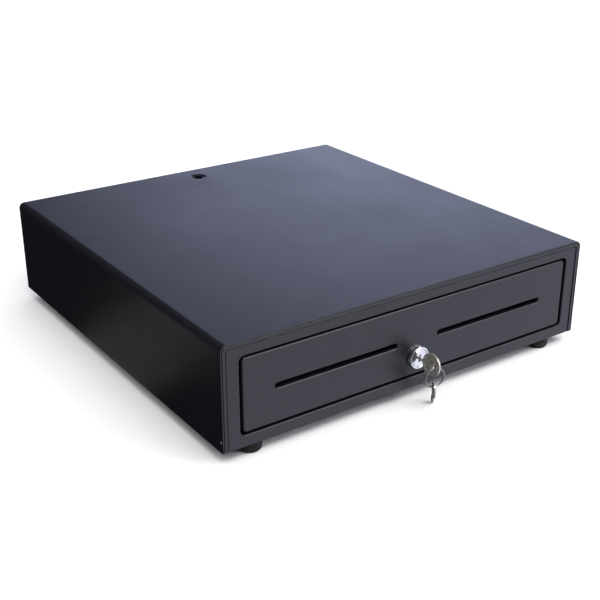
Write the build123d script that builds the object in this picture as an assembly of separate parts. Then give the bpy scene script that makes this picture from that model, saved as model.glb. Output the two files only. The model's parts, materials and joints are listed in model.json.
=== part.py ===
"""Cash drawer: a sheet-metal housing, a drawer on ball slides with a till, a key lock and a solenoid latch.

Millimetres. X runs across the front, Y from the front to the rear, Z up. The model is drawn with X = 0 on the
middle, Y = 0 on the front rim and Z = 0 under the base sheet. save() then moves each piece to the part's frame,
whose origin is the middle of the overall box on the surface that the feet stand on.
"""

import math
import os

from build123d import *

# ---------------------------------------------------------------- driving dimensions
WIDTH = 410.0
DEPTH = 420.0
HEIGHT = 97.5  # without the feet
FOOT_HEIGHT = 12.0
SHEET = 1.2  # housing and drawer front sheet
PAN_SHEET = 1.0  # drawer pan sheet
TRAVEL = 300.0  # how far the drawer opens

# housing
SHELL_BEND = 6.0  # outer radius of the long top edges
SHELL_EDGE_ROUND = 0.5
SHELL_IN = WIDTH / 2 - SHEET  # inner half width of the shell
BASE_FLANGE_TOP = 14.0
REAR_TAB_Y = (417.2, 418.4)
REAR_PANEL_Y = (418.4, 419.6)
CABLE_HOLE_Y = 394.0
CABLE_HOLE_R = 5.5
DIMPLE_R = 9.0
DIMPLE_FLOOR_R = 7.4

# bezel
BEZEL_GAP = 0.5  # dark line between the shell and the bezel
BEZEL_HALF = SHELL_IN - BEZEL_GAP
BEZEL_TOP = HEIGHT - SHEET - BEZEL_GAP
RIM_WIDTH = 3.2
RIM_STEP = 0.6  # how far the rim stands in front of the field
RIM_ROUND = 3.0  # radius of the rim's inner corners
RIM_GROOVE = (0.9, 0.5)  # width and depth of the groove between the rim and the field
BEZEL_FLANGE_END = 14.0
OPENING_HALF = 187.4
OPENING_Z = (10.4, 83.4)
OPENING_R = 5.0
OPENING_FLANGE_END = 8.0

# drawer front
FRONT_FACE_Y = 1.0
FRONT_HALF = 184.9
FRONT_Z = (12.5, 81.3)
FRONT_CORNER_R = 4.0
FRONT_EDGE_ROUND = 1.6
FRONT_DEPTH_END = 11.0
SLOT_X = (22.0, 154.5)  # overall, lips included
SLOT_Z = 46.8
SLOT_CLEAR = 4.7  # clear height inside the lips
SLOT_LIP_ROUND = 1.4
SLOT_LIP_END = 5.2

# drawer pan
PAN_HALF = 181.6
PAN_Y = (FRONT_DEPTH_END, 381.0)
PAN_FLOOR = 13.2  # underside
PAN_SIDE_TOP = 72.0
PAN_REAR_TOP = 60.0
PAN_FRONT_TOP = 36.0
PAN_EAR_TOP = 68.0
PAN_EAR_X = 165.0
CAM_NOTCH_HALF = 36.0
CAM_NOTCH_END = 17.0

# slides
SLIDE_Z = 45.0
INNER_HALF_HEIGHT = 9.0
INNER_WIDTH = 5.0
OUTER_HALF_HEIGHT = 13.6
OUTER_X = (183.4, 195.8)
OUTER_Y = (12.0, 397.0)
CAGE_LENGTH = 70.0
CAGE_FRONT = OUTER_Y[0] + TRAVEL / 2 + 2.0  # the cage rolls half as far as the drawer
CAGE_Y = (CAGE_FRONT, CAGE_FRONT + CAGE_LENGTH)
CAGE_SHEET = 0.8
BALL_R = 1.45
BALL_X = 185.2
BALL_Z = 10.7  # from the middle of the slide
BALLS_PER_ROW = 5
BRACKET_Y = (14.0, 400.0)
BRACKET_TOP = 62.0
BRACKET_WINDOW = (40.0, 14.0)  # length, height
BRACKET_WINDOW_Y = (85.0, 155.0, 245.0, 315.0)
BRACKET_WINDOW_Z = 20.0
SLIDE_FIX_Y = (60.0, 200.0, 340.0)

# lock and keys
LOCK_Z = 29.5
LOCK_FACE_Y = -3.0
FLANGE_R = 11.5
FACE_R = 10.5
BARREL_R = 9.5
BARREL_END = 11.6
PLUG_HEAD_R = 8.5
PLUG_R = 6.5
RUNNING = 0.05  # radial clearance of turning and sliding fits
CAM_Y = (12.0, 14.0)
CAM_REACH = 26.0
CAM_WIDTH = 14.0
KEY_THICK = 2.0
BOW = (23.0, 21.0)  # length, height
KEY_HOLE_AT = 6.3  # from the end of the bow
KEY_HOLE_R = 2.4
NECK_LENGTH = 6.3
KEY_SUNK = 2.0  # how far the neck reaches into the keyway
NECK_HEIGHT = 2.6
BLADE_LENGTH = 8.7
BLADE_HEIGHT = 6.4
SPARE_BOW = (16.6, 15.5)
SPARE_HOLE_AT = 5.2
SPARE_NECK = 2.6
SPARE_BLADE = 7.9
SPARE_FACING = 35.0  # turn of the spare key's plane about Z, from the inserted key's plane
SPARE_LEAN = 28.9  # degrees from plumb, with its tip just above the surface
KEY_TILT = 6.0  # degrees that the inserted key leans about the lock's axis
KEY_REACH = NECK_LENGTH - KEY_SUNK + BOW[0] - LOCK_FACE_Y
RING_R = 9.35  # middle of the wire
RING_WIRE_R = 0.65
RING_YAW = -12.0
RING_SLACK = 0.6  # room between the wire and a key's hole

# till
TILL_HALF = 178.5
TILL_Y = (24.0, 378.0)
TILL_Z = (27.0, 76.0)
TILL_WALL = 1.8
BILL_BAY_Y = 190.0
BILL_BAYS = 5
BAY_ROUND = 8.0  # at the bottom of the bill bays, front and rear
COIN_COLUMNS = 4
COIN_ROWS = 2
COIN_WALL = 1.8
COIN_TRAY_Y = (27.0, 187.0)
COIN_TRAY_HALF = 175.6
COIN_FLOOR = 36.0
COIN_SCOOP_R = 20.0
CLIP_ROD_Y = 368.0
CLIP_ROD_Z = 68.0
CLIP_ROD_R = 2.5
CLIP_REACH = 90.0
CLIP_REST = 22.7  # degrees below level

# rear mechanism
STRIKER_Y = 392.0
STRIKER_R = 2.5
LATCH_PIVOT = (9.5, 408.0)
LATCH_Z = (24.0, 27.0)
LATCH_OPEN = 18.0  # degrees from caught to released; the latch is drawn released
LATCH_PIN_R = 2.5
LINK_OFFSET = 12.0  # from the latch pivot to the plunger's pin
PLUNGER_Z = 25.5
PLUNGER_R = 3.5
COIL_X = (33.0, 62.0)
SOLENOID_TOP = 36.5
KICKER_X = -60.0
KICKER_Z = 30.0
SWITCH_X = 105.0
JACK_X = -120.0
JACK_Z = 31.0

# feet
FOOT_R = 10.0
FOOT_X = 171.0
FOOT_Y = (13.0, 395.0)

SCREW_HEAD_R = 2.8
SCREW_HEAD_H = 1.8
SCREW_R = 1.5
REAR_REACH = REAR_PANEL_Y[1] + SCREW_HEAD_H
MIDDLE_Y = (REAR_REACH - KEY_REACH) / 2


# ---------------------------------------------------------------- small helpers
def block(x, y, z):
    """A box between a low and a high value on each axis."""
    middle = Pos((x[0] + x[1]) / 2, (y[0] + y[1]) / 2, (z[0] + z[1]) / 2)
    return middle * Box(x[1] - x[0], y[1] - y[0], z[1] - z[0])


def prism_x(outline, x):
    """An outline drawn in (y, z), carried from x[0] to x[1]."""
    return extrude(Plane.YZ.offset(x[0]) * outline, x[1] - x[0])


def prism_y(outline, y):
    """An outline drawn in (x, z), carried from y[0] to y[1]."""
    return extrude(Plane.XZ.offset(-y[1]) * outline, y[1] - y[0])


def prism_z(outline, z):
    """An outline drawn in (x, y), carried from z[0] to z[1]."""
    return extrude(Plane.XY.offset(z[0]) * outline, z[1] - z[0])


def rod_x(radius, x, y, z):
    return prism_x(Pos(y, z) * Circle(radius), x)


def rod_y(radius, x, y, z):
    return prism_y(Pos(x, z) * Circle(radius), y)


def rod_z(radius, x, y, z):
    return prism_z(Pos(x, y) * Circle(radius), z)


def panel(half, z, radius):
    """A rounded rectangle in (x, z), symmetric in x."""
    return Pos(0, (z[0] + z[1]) / 2) * RectangleRounded(2 * half, z[1] - z[0], radius)


def arch(half, z, radius):
    """A rectangle in (x, z) with only its two upper corners rounded."""
    plain = Pos(0, (z[0] + z[1]) / 2) * Rectangle(2 * half, z[1] - z[0])
    return fillet(plain.vertices().group_by(Axis.Y)[-1], radius)


def slot(length, height):
    """A bar with round ends."""
    return SlotOverall(length, height)


def edges_at_y(part, y):
    return part.edges().filter_by_position(Axis.Y, y - 1e-3, y + 1e-3)


def both_sides(part):
    return [part, mirror(part, Plane.YZ)]


def on_side(part, side):
    """The part as drawn for +X, or its mirror image for -X."""
    return part if side == "right" else mirror(part, Plane.YZ)


def pan_screw(length, head_r=SCREW_HEAD_R, head_h=SCREW_HEAD_H, shank_r=SCREW_R):
    """A cross-recess screw: its head's underside is at Z = 0 and its shank points down."""
    head = rod_z(head_r, 0, 0, (0, head_h))
    head = fillet(head.edges().group_by(Axis.Z)[-1], head_h * 0.55)
    recess = block((-1.4, 1.4), (-0.3, 0.3), (head_h - 0.8, head_h + 0.1))
    head -= [recess, Rot(0, 0, 90) * recess]
    return head + rod_z(shank_r, 0, 0, (-length, 0))


def group(parts):
    """Separate pieces that share one node."""
    return Compound([solid for part in parts for solid in part.solids()])


def save(name, part):
    export_step(part.moved(Pos(0, -MIDDLE_Y, FOOT_HEIGHT)), f"parts/{name}.step")


# ---------------------------------------------------------------- housing
RIVET_AT = (3.4, 9.7)  # y, z
RIVET_R = 1.2
REAR_SCREWS = [(x, z) for x in (-198.0, 198.0) for z in (22.0, 76.0)] + [(-150.0, 8.0), (150.0, 8.0)]
BEZEL_SCREWS = [(x, 11.0) for x in (-140.0, -60.0, 60.0, 140.0)]
BRACKET_SCREWS = [(x, y) for x in (-189.0, 189.0) for y in (40.0, 200.0, 375.0)]
FLANGE_Z = (SHEET, 2 * SHEET)


def top_shell():
    outer = arch(WIDTH / 2, (0, HEIGHT), SHELL_BEND)
    inner = arch(SHELL_IN, (-1.0, HEIGHT - SHEET), SHELL_BEND - SHEET)
    shell = prism_y(outer, (0, DEPTH))
    shell = fillet(edges_at_y(shell, 0).group_by(Axis.Z)[1:], SHELL_EDGE_ROUND)
    shell -= prism_y(inner, (-1.0, DEPTH + 1.0))
    shell += both_sides(block((192.0, SHELL_IN + 0.4), REAR_TAB_Y, (12.0, 84.0)))
    under = HEIGHT - 2 * SHEET
    dish = Pos(0, CABLE_HOLE_Y, under + SHEET / 2) * Cylinder(DIMPLE_R + SHEET, SHEET)
    shell += fillet(dish.edges().group_by(Axis.Z)[0], 0.8)
    cone = Cone(DIMPLE_FLOOR_R, DIMPLE_R, SHEET)
    shell -= Pos(0, CABLE_HOLE_Y, HEIGHT - SHEET / 2) * cone
    shell -= rod_z(CABLE_HOLE_R, 0, CABLE_HOLE_Y, (under - 1, HEIGHT))
    shell -= both_sides(rod_x(RIVET_R + RUNNING, (SHELL_IN - 1, WIDTH / 2 + 1), *RIVET_AT))
    for x, z in REAR_SCREWS[:4]:
        shell -= rod_y(SCREW_R + RUNNING, x, (REAR_TAB_Y[0] - 1, REAR_TAB_Y[1] + 1), z)
    return shell


def front_bezel():
    field = RIM_STEP
    back = field + SHEET
    outline = arch(BEZEL_HALF, (0, BEZEL_TOP), SHELL_BEND - SHEET)
    plate = prism_y(outline, (field, back))
    inside_rim = arch(BEZEL_HALF - RIM_WIDTH, (-5.0, BEZEL_TOP - RIM_WIDTH), RIM_ROUND)
    rim = prism_y(outline, (0, field)) - prism_y(inside_rim, (-1, field))
    rim = chamfer(edges_at_y(rim, 0).filter_by(lambda e: e.center().Z > 1.0), RIM_STEP * 0.6)
    # the rim's outer edge folds back into a flange along both sides and the top
    wrap = prism_y(outline, (field, BEZEL_FLANGE_END))
    wrap -= prism_y(arch(BEZEL_HALF - SHEET, (-5.0, BEZEL_TOP - SHEET), 3.6), (back, BEZEL_FLANGE_END + 1))
    foot = Part() + both_sides(block((50.0, 150.0), (back, 16.0), FLANGE_Z))
    collar = prism_y(panel(OPENING_HALF + SHEET, (OPENING_Z[0] - SHEET, OPENING_Z[1] + SHEET),
                           OPENING_R + SHEET), (back, OPENING_FLANGE_END))
    bezel = plate + rim + wrap + foot + collar
    width, depth = RIM_GROOVE
    inside_groove = arch(BEZEL_HALF - RIM_WIDTH - width, (-6.0, BEZEL_TOP - RIM_WIDTH - width), RIM_ROUND - width)
    groove = prism_y(inside_rim, (field - 0.1, field + depth))
    bezel -= groove - prism_y(inside_groove, (field - 1, field + depth + 1))
    opening = panel(OPENING_HALF, OPENING_Z, OPENING_R)
    bezel -= prism_y(opening, (-1, 20))
    lip = [e for e in edges_at_y(bezel, field) if abs(e.center().X) < OPENING_HALF + 1
           and OPENING_Z[0] - 1 < e.center().Z < OPENING_Z[1] + 1]
    bezel = fillet(lip, SHEET * 0.9)
    bezel -= both_sides(rod_x(RIVET_R + RUNNING, (BEZEL_HALF - 3, BEZEL_HALF + 1), RIVET_AT[0], RIVET_AT[1]))
    for x, y in BEZEL_SCREWS:
        bezel -= rod_z(SCREW_R + RUNNING, x, y, (0, 4))
    return bezel


def base_pan():
    pan = block((-BEZEL_HALF, BEZEL_HALF), (2.3, REAR_TAB_Y[1]), (0, SHEET))
    pan -= both_sides(block((BEZEL_HALF - SHEET - 0.2, BEZEL_HALF + 1), (0, BEZEL_FLANGE_END + 0.3), (-1, 2)))
    pan += both_sides(block((BEZEL_HALF - SHEET, BEZEL_HALF), (16.0, 417.0), (0, BASE_FLANGE_TOP)))
    pan += block((-190.0, 190.0), REAR_TAB_Y, (0, BASE_FLANGE_TOP))
    for x, y in BEZEL_SCREWS + BRACKET_SCREWS + MECHANISM_SCREWS:
        pan -= rod_z(SCREW_R + RUNNING, x, y, (-1, 2))
    for x, z in REAR_SCREWS[4:]:
        pan -= rod_y(SCREW_R + RUNNING, x, (REAR_TAB_Y[0] - 1, REAR_TAB_Y[1] + 1), z)
    for x, y in feet_places():
        pan -= rod_z(FOOT_SCREW_R + RUNNING, x, y, (-1, 2))
    return pan


def rear_panel():
    plate = prism_y(arch(BEZEL_HALF, (0, BEZEL_TOP + 0.3), SHELL_BEND - SHEET), REAR_PANEL_Y)
    through = (REAR_PANEL_Y[0] - 1, REAR_PANEL_Y[1] + 1)
    for x, z in REAR_SCREWS:
        plate -= rod_y(SCREW_R + RUNNING, x, through, z)
    window = Pos(JACK_X, JACK_Z) * RectangleRounded(JACK_SIZE + 0.4, JACK_SIZE + 0.4, 0.6)
    plate -= prism_y(window, through)
    vent = slot(34.0, 3.0)
    for column in (0, 1, 2):
        for row in (0, 1, 2, 3):
            at = Pos(60.0 + 42.0 * column, 50.0 + 9.0 * row)
            plate -= prism_y(at * vent, through)
    return plate


def feet_places():
    return [(side * FOOT_X, y) for y in FOOT_Y for side in (-1, 1)]


FOOT_SCREW_R = 2.0
FOOT_RECESS_R = 4.4
FOOT_WEB = 3.5


def foot():
    body = rod_z(FOOT_R, 0, 0, (-FOOT_HEIGHT, 0))
    body = fillet(body.edges().group_by(Axis.Z)[0], 3.5)
    body -= rod_z(FOOT_RECESS_R, 0, 0, (-FOOT_HEIGHT - 1, -FOOT_WEB))
    return body - rod_z(FOOT_SCREW_R + RUNNING, 0, 0, (-FOOT_HEIGHT, 1))


def foot_screw():
    upright = pan_screw(FOOT_WEB + SHEET + 1.5, 3.8, 2.4, FOOT_SCREW_R)
    return Pos(0, 0, -FOOT_WEB) * Rot(180, 0, 0) * upright


def rivet():
    """A domed rivet through the shell and the bezel's flange, drawn at +X."""
    head = rod_x(RIVET_R + 0.5, (WIDTH / 2, WIDTH / 2 + 0.6), *RIVET_AT)
    head = fillet(head.edges().group_by(Axis.X)[-1], 0.5)
    return head + rod_x(RIVET_R, (BEZEL_HALF - SHEET, WIDTH / 2), *RIVET_AT)


# ---------------------------------------------------------------- slides
def rail_bracket():
    """The +X bracket: a foot on the base and a web that carries the outer slide member."""
    web_x = (OUTER_X[1], OUTER_X[1] + SHEET)
    part = block(web_x, BRACKET_Y, (SHEET, BRACKET_TOP))
    part += block((184.0, web_x[1]), BRACKET_Y, FLANGE_Z)
    outer_bend = part.edges().filter_by(Axis.Y).sort_by(lambda e: -e.center().X + e.center().Z)[0]
    part = fillet(outer_bend, SHEET * 0.9)
    for y in BRACKET_WINDOW_Y:
        part -= prism_x(Pos(y, BRACKET_WINDOW_Z) * slot(*BRACKET_WINDOW), (web_x[0] - 1, web_x[1] + 1))
    for x, y in BRACKET_SCREWS[3:]:
        part -= rod_z(SCREW_R + RUNNING, x, y, (0, 4))
    for y in SLIDE_FIX_Y:
        part -= rod_x(SCREW_R + RUNNING, (web_x[0] - 1, web_x[1] + 1), y, SLIDE_Z)
    return part


def slide_outer():
    x, half = OUTER_X, OUTER_HALF_HEIGHT
    part = block(x, OUTER_Y, (SLIDE_Z - half, SLIDE_Z + half))
    part = fillet(part.edges().filter_by(Axis.Y).group_by(Axis.X)[-1], 1.8)
    hollow = block((x[0] - 1, x[1] - SHEET), (0, 400), (SLIDE_Z - half + SHEET, SLIDE_Z + half - SHEET))
    part -= fillet(hollow.edges().filter_by(Axis.Y).group_by(Axis.X)[-1], 0.8)
    for y in SLIDE_FIX_Y:
        part -= rod_x(SCREW_R + RUNNING, (x[1] - 3, x[1] + 1), y, SLIDE_Z)
    return part


def slide_inner():
    x = (PAN_HALF, PAN_HALF + INNER_WIDTH)
    half, wall = INNER_HALF_HEIGHT, SHEET
    part = block(x, (PAN_Y[0] + 1.5, PAN_Y[1]), (SLIDE_Z - half, SLIDE_Z + half))
    part = fillet(part.edges().filter_by(Axis.Y).group_by(Axis.X)[0], 1.6)
    hollow = block((x[0] + wall, x[1] + 1), (0, 400), (SLIDE_Z - half + wall, SLIDE_Z + half - wall))
    part -= hollow
    for y in SLIDE_FIX_Y:
        part -= rod_x(SLIDE_RIVET_R + RUNNING, (x[0] - 1, x[0] + 3), y, SLIDE_Z)
    return part


SLIDE_RIVET_R = 2.0


def ball_places():
    pitch = (CAGE_Y[1] - CAGE_Y[0]) / BALLS_PER_ROW
    for row in (-1, 1):
        for n in range(BALLS_PER_ROW):
            yield CAGE_Y[0] + pitch * (n + 0.5), SLIDE_Z + row * BALL_Z


def slide_cage():
    """A thin channel around the inner member's lips, with a hole for each ball."""
    reach = BALL_Z + CAGE_SHEET / 2
    x = (OUTER_X[0] + 0.2, OUTER_X[0] + 5.2)
    part = block(x, CAGE_Y, (SLIDE_Z - reach, SLIDE_Z + reach))
    part -= block((x[0] - 1, x[1] - CAGE_SHEET), (CAGE_Y[0] - 1, CAGE_Y[1] + 1),
                  (SLIDE_Z - reach + CAGE_SHEET, SLIDE_Z + reach - CAGE_SHEET))
    for y, z in ball_places():
        part -= rod_z(BALL_R + 0.1, BALL_X, y, (z - 1, z + 1))
    for y in (CAGE_Y[0] + 17.0, CAGE_Y[0] + 53.0):
        part -= prism_x(Pos(y, SLIDE_Z) * slot(24.0, 10.0), (x[1] - 2, x[1] + 1))
    return part


def slide_balls():
    return group(Pos(BALL_X, y, z) * Sphere(BALL_R) for y, z in ball_places())


def rail_screws():
    """Screws from inside each outer member into its bracket."""
    screw = pan_screw(2 * SHEET, 2.6, 1.6)
    lying = Rot(0, -90, 0) * screw
    one_side = [Pos(OUTER_X[1] - SHEET, y, SLIDE_Z) * lying for y in SLIDE_FIX_Y]
    return group(one_side + [mirror(s, Plane.YZ) for s in one_side])


def slide_rivets():
    """Rivets through the inner members and the drawer's sides, flush inside."""
    seat = PAN_HALF + SHEET
    one = rod_x(3.2, (seat, seat + 1.2), 0, SLIDE_Z)
    one = fillet(one.edges().group_by(Axis.X)[-1], 0.7)
    one += rod_x(SLIDE_RIVET_R, (PAN_HALF - PAN_SHEET, seat), 0, SLIDE_Z)
    one_side = [Pos(0, y, 0) * one for y in SLIDE_FIX_Y]
    return group(one_side + [mirror(s, Plane.YZ) for s in one_side])


# ---------------------------------------------------------------- drawer
FRONT_TAB_X = (173.7, FRONT_HALF - SHEET + 0.2)
FRONT_TAB_Z = (30.0, 64.0)
FRONT_SCREWS = [(x, z) for x in (-176.0, 176.0) for z in (35.0, 59.0)]
SLOT_LENGTH = SLOT_X[1] - SLOT_X[0]
SLOT_MIDDLE = (SLOT_X[0] + SLOT_X[1]) / 2


def drawer_front():
    face, end = FRONT_FACE_Y, FRONT_DEPTH_END
    body = prism_y(panel(FRONT_HALF, FRONT_Z, FRONT_CORNER_R), (face, end))
    body = fillet(edges_at_y(body, face), FRONT_EDGE_ROUND)
    inside_z = (FRONT_Z[0] + SHEET, FRONT_Z[1] - SHEET)
    body -= prism_y(panel(FRONT_HALF - SHEET, inside_z, FRONT_CORNER_R - SHEET), (face + SHEET, end + 1))
    body += both_sides(block(FRONT_TAB_X, (end - SHEET, end), FRONT_TAB_Z))
    lip_wall = SLOT_CLEAR + 2 * SHEET
    lip_length = SLOT_LENGTH - 2 * SLOT_LIP_ROUND
    for side in (-1, 1):
        at = Pos(side * SLOT_MIDDLE, SLOT_Z)
        body += prism_y(at * slot(lip_length + 2 * SHEET, lip_wall), (face + SHEET, SLOT_LIP_END))
    for side in (-1, 1):
        at = Pos(side * SLOT_MIDDLE, SLOT_Z)
        body -= prism_y(at * slot(lip_length, SLOT_CLEAR), (face - 1, SLOT_LIP_END + 1))
    mouths = [e for e in edges_at_y(body, face) if abs(e.center().Z - SLOT_Z) < 4
              and SLOT_X[0] - 2 < abs(e.center().X) < SLOT_X[1] + 2]
    body = fillet(mouths, SLOT_LIP_ROUND)
    body -= rod_y(BARREL_R + RUNNING, 0, (face - 1, face + 3), LOCK_Z)
    for x, z in FRONT_SCREWS:
        body -= rod_y(SCREW_R + RUNNING, x, (end - 2, end + 1), z)
    return body


def drawer_pan():
    floor_z = (PAN_FLOOR, PAN_FLOOR + PAN_SHEET)
    pan = block((-PAN_HALF, PAN_HALF), PAN_Y, floor_z)
    pan += both_sides(block((PAN_HALF - PAN_SHEET, PAN_HALF), PAN_Y, (PAN_FLOOR, PAN_SIDE_TOP)))
    pan += block((-PAN_HALF, PAN_HALF), (PAN_Y[1] - PAN_SHEET, PAN_Y[1]), (PAN_FLOOR, PAN_REAR_TOP))
    front_y = (PAN_Y[0], PAN_Y[0] + PAN_SHEET)
    pan += block((-PAN_HALF, PAN_HALF), front_y, (PAN_FLOOR, PAN_FRONT_TOP))
    pan += both_sides(block((PAN_EAR_X, PAN_HALF), front_y, (PAN_FLOOR, PAN_EAR_TOP)))
    pan -= block((-CAM_NOTCH_HALF, CAM_NOTCH_HALF), (PAN_Y[0] - 1, CAM_NOTCH_END), (0, 50))
    for x, z in FRONT_SCREWS:
        pan -= rod_y(SCREW_R + RUNNING, x, (front_y[0] - 1, front_y[1] + 1), z)
    for y in SLIDE_FIX_Y:
        pan -= both_sides(rod_x(SLIDE_RIVET_R + RUNNING, (PAN_HALF - 3, PAN_HALF + 1), y, SLIDE_Z))
    for x in STRIKER_SCREWS:
        pan -= rod_y(SCREW_R + RUNNING, x, (PAN_Y[1] - 3, PAN_Y[1] + 1), STRIKER_SCREW_Z)
    return pan


STRIKER_SCREWS = (-10.5, 10.5)
STRIKER_SCREW_Z = 33.5
STRIKER_PLATE = 1.0
STRIKER_EARS = ((20.0, 21.5), (29.5, 31.0))


def striker_bracket():
    wall = (PAN_Y[1], PAN_Y[1] + STRIKER_PLATE)
    part = block((-14.0, 14.0), wall, (16.0, 38.0))
    ear = Pos(0, (wall[0] + STRIKER_Y + 5.0) / 2) * Rectangle(13.0, STRIKER_Y + 5.0 - wall[0])
    ear = fillet(ear.vertices().group_by(Axis.Y)[-1], 4.0)
    for z in STRIKER_EARS:
        part += prism_z(ear, z)
        part -= rod_z(STRIKER_R + RUNNING, 0, STRIKER_Y, (z[0] - 0.1, z[1] + 0.1))
    for x in STRIKER_SCREWS:
        part -= rod_y(SCREW_R + RUNNING, x, (wall[0] - 1, wall[1] + 1), STRIKER_SCREW_Z)
    return part


def striker_pin():
    return rod_z(STRIKER_R, 0, STRIKER_Y, (STRIKER_EARS[0][0], STRIKER_EARS[1][1]))


def drawer_screws():
    """Screws through the pan's ears into the drawer front's tabs, and through the striker bracket into the pan."""
    front = Rot(-90, 0, 0) * pan_screw(PAN_SHEET + SHEET)
    front = [Pos(x, PAN_Y[0] + PAN_SHEET, z) * front for x, z in FRONT_SCREWS]
    rear = Rot(-90, 0, 0) * pan_screw(STRIKER_PLATE + PAN_SHEET)
    rear = [Pos(x, PAN_Y[1] + STRIKER_PLATE, STRIKER_SCREW_Z) * rear for x in STRIKER_SCREWS]
    return group(front + rear)


# ---------------------------------------------------------------- lock and keys
def about_lock(part):
    """Turns a piece that is drawn upright to the lean of the inserted key."""
    return Pos(0, 0, LOCK_Z) * Rot(0, KEY_TILT, 0) * Pos(0, 0, -LOCK_Z) * part


def lock_barrel():
    profile = Polyline(
        (0, FRONT_FACE_Y), (FLANGE_R, FRONT_FACE_Y), (FLANGE_R, -0.8), (FACE_R, LOCK_FACE_Y), (0, LOCK_FACE_Y),
        close=True)
    flange = revolve(Plane.XY * make_face(profile), Axis.Y)
    flange = fillet(flange.edges().group_by(Axis.Y)[0], 0.7)
    flange = Pos(0, 0, LOCK_Z) * flange
    barrel = flange + rod_y(BARREL_R, 0, (FRONT_FACE_Y, BARREL_END), LOCK_Z)
    barrel -= rod_y(PLUG_HEAD_R + RUNNING, 0, (LOCK_FACE_Y - 1, -1.5), LOCK_Z)
    barrel = chamfer(edges_at_y(barrel, LOCK_FACE_Y).sort_by(SortBy.LENGTH)[0], 0.4)
    return barrel - rod_y(PLUG_R + RUNNING, 0, (-2, BARREL_END + 1), LOCK_Z)


def lock_nut():
    hexagon = Pos(0, LOCK_Z) * RegularPolygon(13.9, 6)
    y = (FRONT_FACE_Y + SHEET, FRONT_FACE_Y + SHEET + 4.0)
    nut = chamfer(prism_y(hexagon, y).edges().group_by(Axis.Y)[-1], 0.6)
    return nut - rod_y(BARREL_R + RUNNING, 0, (0, 8), LOCK_Z)


CAM_SQUARE = 7.0


def lock_plug():
    plug = rod_y(PLUG_HEAD_R, 0, (LOCK_FACE_Y + 0.1, -1.6), LOCK_Z)
    plug = chamfer(plug.edges().group_by(Axis.Y)[0], 0.4)
    plug += rod_y(PLUG_R, 0, (-1.6, CAM_Y[0]), LOCK_Z)
    plug += block((-CAM_SQUARE / 2, CAM_SQUARE / 2), CAM_Y, (LOCK_Z - CAM_SQUARE / 2, LOCK_Z + CAM_SQUARE / 2))
    keyway = Pos(0, LOCK_Z) * RectangleRounded(KEY_THICK + 0.5, BLADE_HEIGHT + 1.0, 0.6)
    plug -= about_lock(prism_y(keyway, (LOCK_FACE_Y - 1, 8.4)))
    return plug - rod_y(CAM_SCREW_R + RUNNING, 0, (9.0, 20.0), LOCK_Z)


CAM_SCREW_R = 1.5


def lock_cam():
    """A flat finger that points to -X when the lock is open and down when it is locked."""
    reach = slot(CAM_REACH + CAM_WIDTH / 2, CAM_WIDTH)
    cam = prism_y(Pos(-(CAM_REACH - CAM_WIDTH / 2) / 2, LOCK_Z) * reach, CAM_Y)
    hole = CAM_SQUARE / 2 + RUNNING
    return cam - block((-hole, hole), (CAM_Y[0] - 1, CAM_Y[1] + 1), (LOCK_Z - hole, LOCK_Z + hole))


def cam_screw():
    lying = Rot(-90, 0, 0) * pan_screw(4.5, 5.0, 2.0, CAM_SCREW_R)
    return Pos(0, CAM_Y[1], LOCK_Z) * lying


def key(bow=BOW, hole_at=KEY_HOLE_AT, neck_length=NECK_LENGTH, blade_length=BLADE_LENGTH):
    """A key drawn flat in (y, z): the bow's end at y = 0, the blade towards +Y, its middle plane at x = 0."""
    half = KEY_THICK / 2
    length, height = bow
    head = prism_x(Pos(length / 2, 0) * Ellipse(length / 2, height / 2), (-half, half))
    head = fillet(head.edges().filter_by(GeomType.ELLIPSE), 0.45)
    # a shallow oval panel on each face, between the ring hole and the neck
    panel_face = Pos(length * 0.6, 0) * Ellipse(length * 0.26, height * 0.36)
    for x in ((half - 0.3, half + 1), (-half - 1, -half + 0.3)):
        head -= prism_x(panel_face, x)
    head -= prism_x(Pos(hole_at, 0) * Circle(KEY_HOLE_R), (-half - 1, half + 1))
    neck_end = length + neck_length
    neck = block((-half, half), (length - 1.5, neck_end + 1.0), (-NECK_HEIGHT / 2, NECK_HEIGHT / 2))
    tip = neck_end + blade_length
    h = BLADE_HEIGHT / 2
    outline = Polyline((neck_end, -h), (tip - 2.0, -h), (tip, -1.0), (tip, 1.0), (tip - 2.0, h), (neck_end, h),
                       close=True)
    blade = prism_x(make_face(outline), (-half + 0.1, half - 0.1))
    for n, depth in enumerate((1.2, 0.7, 1.4)):
        at = neck_end + 2.2 + 2.0 * n
        for side in (-1, 1):
            cut = Polyline((at - 0.9, side * (h + 0.1)), (at, side * (h - depth)), (at + 0.9, side * (h + 0.1)),
                           close=True)
            blade -= prism_x(make_face(cut), (-half - 1, half + 1))
    return head + neck + blade


def inserted_key():
    return about_lock(Pos(0, -KEY_REACH, LOCK_Z) * key())


RING_TOP = (0.0, -KEY_REACH + KEY_HOLE_AT, LOCK_Z - KEY_HOLE_R + RING_WIRE_R + RING_SLACK)
SPARE_PLACE = (RING_TOP[0], RING_TOP[1], RING_TOP[2] - 2 * RING_R - KEY_HOLE_R + RING_WIRE_R + RING_SLACK)


def key_ring():
    hoop = Rot(90, 0, 0) * Torus(RING_R, RING_WIRE_R)
    return Pos(*RING_TOP) * Rot(0, 0, RING_YAW) * Pos(0, 0, -RING_R) * hoop


def spare_key():
    """A smaller key that hangs from the foot of the ring and leans back on its tip."""
    flat = key(SPARE_BOW, SPARE_HOLE_AT, SPARE_NECK, SPARE_BLADE)
    leaning = Rot(SPARE_LEAN - 90, 0, 0) * Pos(0, -SPARE_HOLE_AT, 0) * flat
    return Pos(*SPARE_PLACE) * Rot(0, 0, -SPARE_FACING) * leaning


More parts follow.
